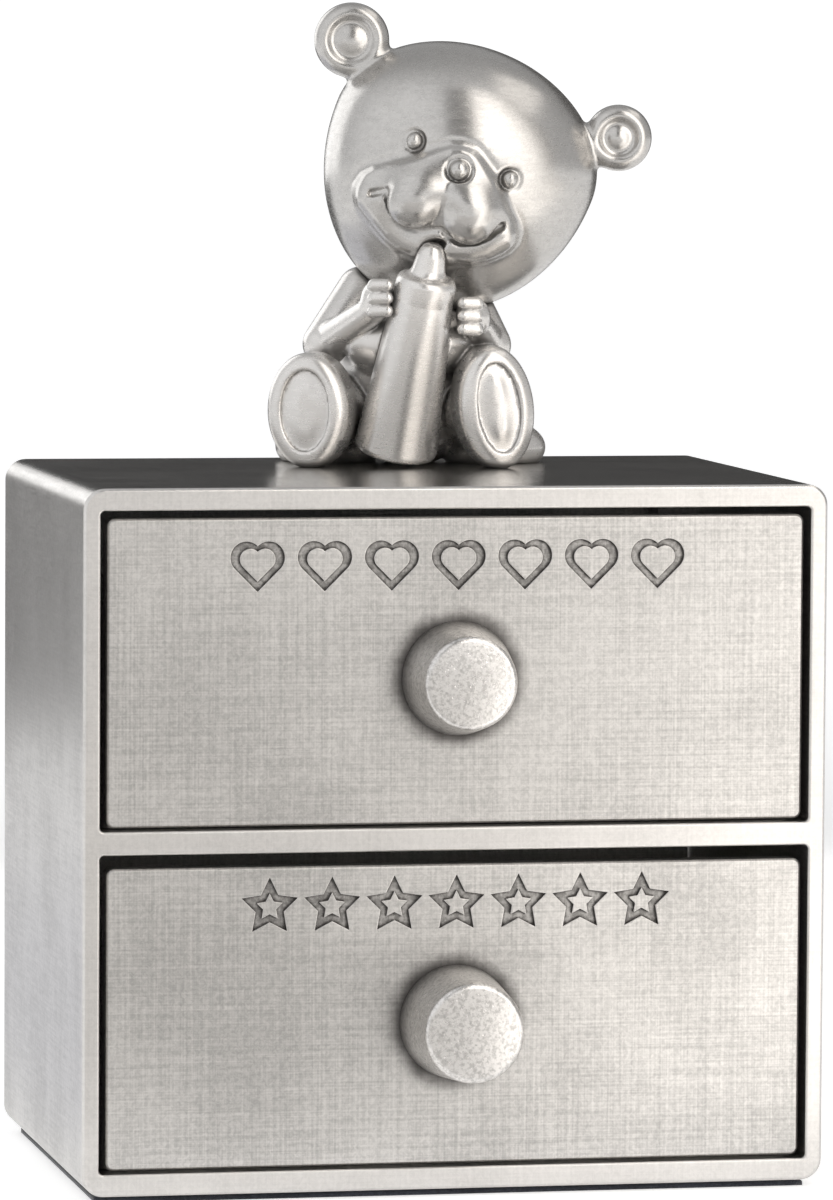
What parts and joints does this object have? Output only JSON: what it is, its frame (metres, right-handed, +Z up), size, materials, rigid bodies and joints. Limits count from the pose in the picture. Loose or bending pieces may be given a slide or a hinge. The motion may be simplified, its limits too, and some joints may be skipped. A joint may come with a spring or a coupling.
{
  "type": "tooth keepsake box",
  "caption": "Small cast pewter chest with an upper and a lower pull-out drawer, round knobs, and a sitting bear with a bottle on its top.",
  "frame": {"origin": "middle of the underside of the felt, where the chest rests", "axes": "+Z up, -Y the way the drawers open, +X to the right of someone who faces the drawers"},
  "size_m": [0.058, 0.0472, 0.0916],
  "materials": {
    "case_pewter": "satin, brushed lengthwise",
    "front_pewter": "satin, fine cross brushing, dark in the grooves",
    "tray_pewter": "dull",
    "knob_pewter": "satin, slightly pitted",
    "bear_pewter": "satin, dark in the creases",
    "screw_steel": "plain",
    "base_felt": "felt",
    "drawer_velvet": "short velvet pile"
  },
  "bodies": {
    "cabinet": {"case_shell": "case_pewter", "back_plate": "case_pewter", "back_plate_screws": "screw_steel", "base_felt": "base_felt", "bear_body": "bear_pewter", "bear_head": "bear_pewter", "bear_bottle": "bear_pewter", "bear_screws": "screw_steel"},
    "upper_drawer": {"upper_drawer_front": "front_pewter", "upper_drawer_tray": "tray_pewter", "upper_drawer_lining": "drawer_velvet", "upper_knob": "knob_pewter", "upper_knob_washer": "screw_steel", "upper_knob_screw": "screw_steel"},
    "lower_drawer": {"lower_drawer_front": "front_pewter", "lower_drawer_tray": "tray_pewter", "lower_drawer_lining": "drawer_velvet", "lower_knob": "knob_pewter", "lower_knob_washer": "screw_steel", "lower_knob_screw": "screw_steel"}
  },
  "joints": [
    {"name": "upper_drawer_slide", "type": "slide", "parent": "cabinet", "child": "upper_drawer", "axis": [0, -1, 0], "range_m": [0, 0.03]},
    {"name": "lower_drawer_slide", "type": "slide", "parent": "cabinet", "child": "lower_drawer", "axis": [0, -1, 0], "range_m": [0, 0.03]}
  ]
}
